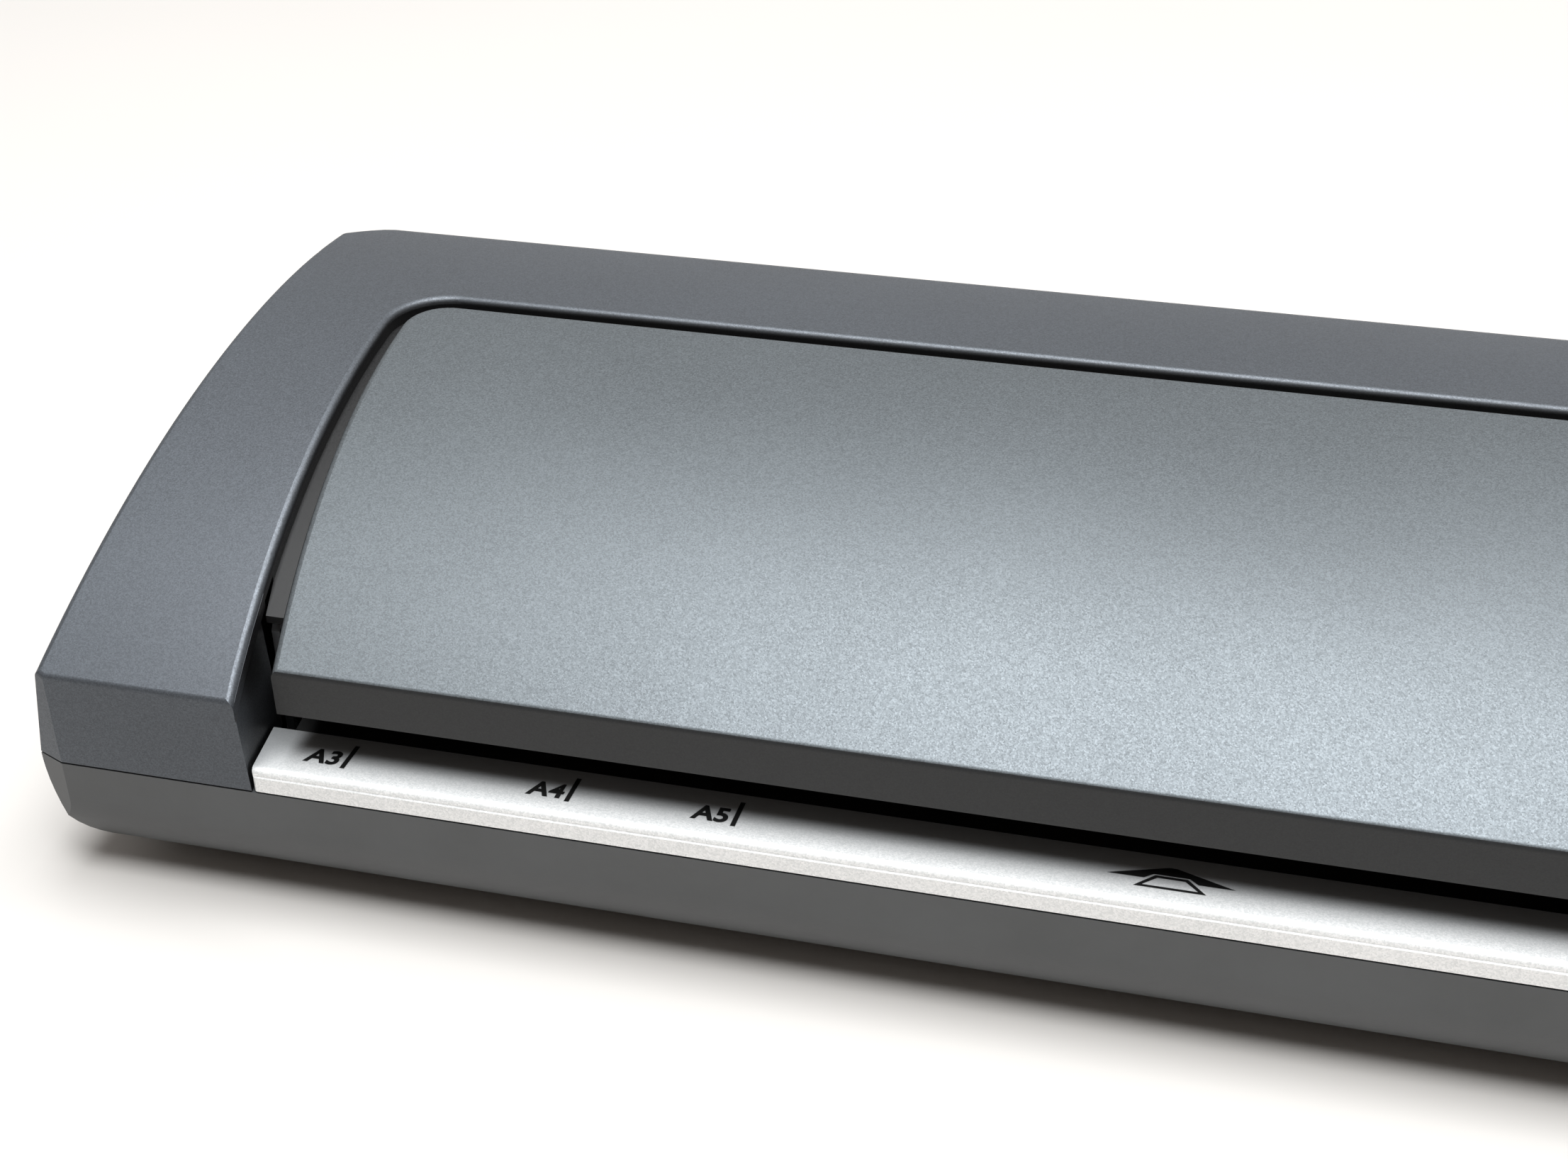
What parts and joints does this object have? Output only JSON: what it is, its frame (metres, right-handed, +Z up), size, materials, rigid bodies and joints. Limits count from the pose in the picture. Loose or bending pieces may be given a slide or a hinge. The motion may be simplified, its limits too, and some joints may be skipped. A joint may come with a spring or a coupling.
{
  "type": "pouch laminator",
  "caption": "Desktop pouch laminator with arched cover, full-width feed mouth with size marks, heated shoes, paired rollers, gear drive and release lever.",
  "frame": {"origin": "on the table, under the middle of the casing", "axes": "+X to the right seen from the feed side, +Y to the back, the way a pouch travels, +Z up"},
  "size_m": [0.459, 0.15, 0.0765],
  "materials": {
    "cover_paint": "satin metallic graphite paint on moulded plastic",
    "panel_paint": "satin metallic graphite paint on moulded plastic",
    "base_plastic": "fine-grained dark grey plastic",
    "tray_silver": "silver paint with visible flakes",
    "guide_black": "black heat-resistant plastic",
    "frame_steel": "zinc-plated sheet",
    "bar_steel": "ground bright bar",
    "silicone": "red-brown silicone rubber",
    "gear_plastic": "natural acetal",
    "pinion_steel": "cut steel",
    "bush_plastic": "glass-filled nylon",
    "motor_can": "pressed and plated can",
    "spring_steel": "drawn wire",
    "lever_plastic": "black plastic",
    "shoe_aluminium": "extruded, coated face",
    "heater_film": "insulating film over a printed track",
    "thermostat_body": "glazed body with a metal cap",
    "fuse_body": "small glazed body",
    "control_face": "dark gloss inlay",
    "button_plastic": "silver satin plastic",
    "slider_plastic": "silver satin plastic",
    "red_lens": "tinted lens",
    "green_lens": "tinted lens",
    "switch_body": "black plastic",
    "board": "green glass-epoxy laminate",
    "transformer_body": "taped winding on a laminated core",
    "relay_body": "blue plastic case",
    "lead_sleeve": "insulated wire",
    "heater_lead_sleeve": "glass-sleeved wire",
    "gland_black": "black plastic",
    "foot_rubber": "soft black rubber",
    "screw_zinc": "zinc plated"
  },
  "bodies": {
    "machine": {"top_cover": "cover_paint", "centre_panel": "panel_paint", "base_shell": "base_plastic", "feed_tray": "tray_silver", "entry_guide_lower": "guide_black", "entry_guide_upper": "guide_black", "exit_guide_lower": "guide_black", "exit_guide_upper": "guide_black", "left_side_frame": "frame_steel", "right_side_frame": "frame_steel", "motor_bracket": "frame_steel", "tie_bars": "bar_steel", "idler_pin": "bar_steel", "lower_bushes": "bush_plastic", "gear_motor": "motor_can", "pressure_springs": "spring_steel", "lower_heater_shoe": "shoe_aluminium", "upper_heater_shoe": "shoe_aluminium", "lower_heater_element": "heater_film", "upper_heater_element": "heater_film", "thermostat": "thermostat_body", "thermal_fuse": "fuse_body", "control_panel": "control_face", "power_lens": "red_lens", "ready_lens": "green_lens", "power_switch": "switch_body", "mode_switch": "switch_body", "control_board": "board", "circuit_board": "board", "transformer": "transformer_body", "relay": "relay_body", "motor_leads": "lead_sleeve", "heater_leads": "heater_lead_sleeve", "cord_gland": "gland_black", "rubber_feet": "foot_rubber", "case_screws": "screw_zinc", "frame_screws": "screw_zinc"},
    "lower_feed_roller": {"lower_feed_shaft": "bar_steel", "lower_feed_sleeve": "silicone", "lower_feed_gear": "gear_plastic"},
    "upper_feed_roller": {"upper_feed_shaft": "bar_steel", "upper_feed_sleeve": "silicone", "upper_feed_gear": "gear_plastic"},
    "lower_exit_roller": {"lower_exit_shaft": "bar_steel", "lower_exit_sleeve": "silicone", "lower_exit_gear": "gear_plastic"},
    "upper_exit_roller": {"upper_exit_shaft": "bar_steel", "upper_exit_sleeve": "silicone", "upper_exit_gear": "gear_plastic"},
    "idler": {"idler_gear": "gear_plastic"},
    "pinion": {"motor_pinion": "pinion_steel"},
    "carriage": {"left_lifter": "frame_steel", "right_lifter": "frame_steel", "carriage_tie": "frame_steel", "upper_bush_blocks": "bush_plastic"},
    "release": {"cam_shaft": "bar_steel", "lift_cams": "gear_plastic", "release_lever": "lever_plastic"},
    "button": {"power_button": "button_plastic"},
    "slider": {"mode_slider": "slider_plastic"}
  },
  "joints": [
    {"name": "lower_exit_spin", "type": "hinge", "parent": "machine", "child": "lower_exit_roller", "pos_m": [-0.017, 0.014, 0.022], "axis": [1, 0, 0], "continuous": true},
    {"name": "lower_feed_spin", "type": "hinge", "parent": "machine", "child": "lower_feed_roller", "pos_m": [-0.017, -0.036, 0.022], "axis": [1, 0, 0], "continuous": true},
    {"name": "idler_spin", "type": "hinge", "parent": "machine", "child": "idler", "pos_m": [0.164, -0.011, 0.022], "axis": [1, 0, 0], "continuous": true},
    {"name": "pinion_spin", "type": "hinge", "parent": "machine", "child": "pinion", "pos_m": [0.164, 0.03275, 0.022], "axis": [1, 0, 0], "continuous": true},
    {"name": "release_turn", "type": "hinge", "parent": "machine", "child": "release", "pos_m": [-0.017, -0.011, 0.052], "axis": [-1, 0, 0], "range_deg": [0, 60]},
    {"name": "carriage_lift", "type": "slide", "parent": "machine", "child": "carriage", "axis": [0, 0, 1], "range_m": [0, 0.0015], "stiffness_N_per_m": 2000, "springref_m": -0.005, "deforming": ["pressure_springs"]},
    {"name": "upper_feed_spin", "type": "hinge", "parent": "carriage", "child": "upper_feed_roller", "pos_m": [-0.017, -0.036, 0.042], "axis": [1, 0, 0], "continuous": true},
    {"name": "upper_exit_spin", "type": "hinge", "parent": "carriage", "child": "upper_exit_roller", "pos_m": [-0.017, 0.014, 0.042], "axis": [1, 0, 0], "continuous": true},
    {"name": "power_press", "type": "slide", "parent": "machine", "child": "button", "axis": [0, 0.3624, -0.932], "range_m": [0, 0.0015], "stiffness_N_per_m": 400, "springref_m": -0.001},
    {"name": "mode_slide", "type": "slide", "parent": "machine", "child": "slider", "axis": [1, 0, 0], "range_m": [0, 0.012]}
  ],
  "couplings": [
    {"joint": "lower_feed_spin", "follows": "lower_exit_spin", "ratio": 1},
    {"joint": "upper_exit_spin", "follows": "lower_exit_spin", "ratio": -1},
    {"joint": "upper_feed_spin", "follows": "lower_exit_spin", "ratio": -1},
    {"joint": "idler_spin", "follows": "lower_exit_spin", "ratio": -0.66667},
    {"joint": "pinion_spin", "follows": "lower_exit_spin", "ratio": -1.1429},
    {"joint": "release_turn", "follows": "carriage_lift", "rad_per_m": 698.13}
  ]
}
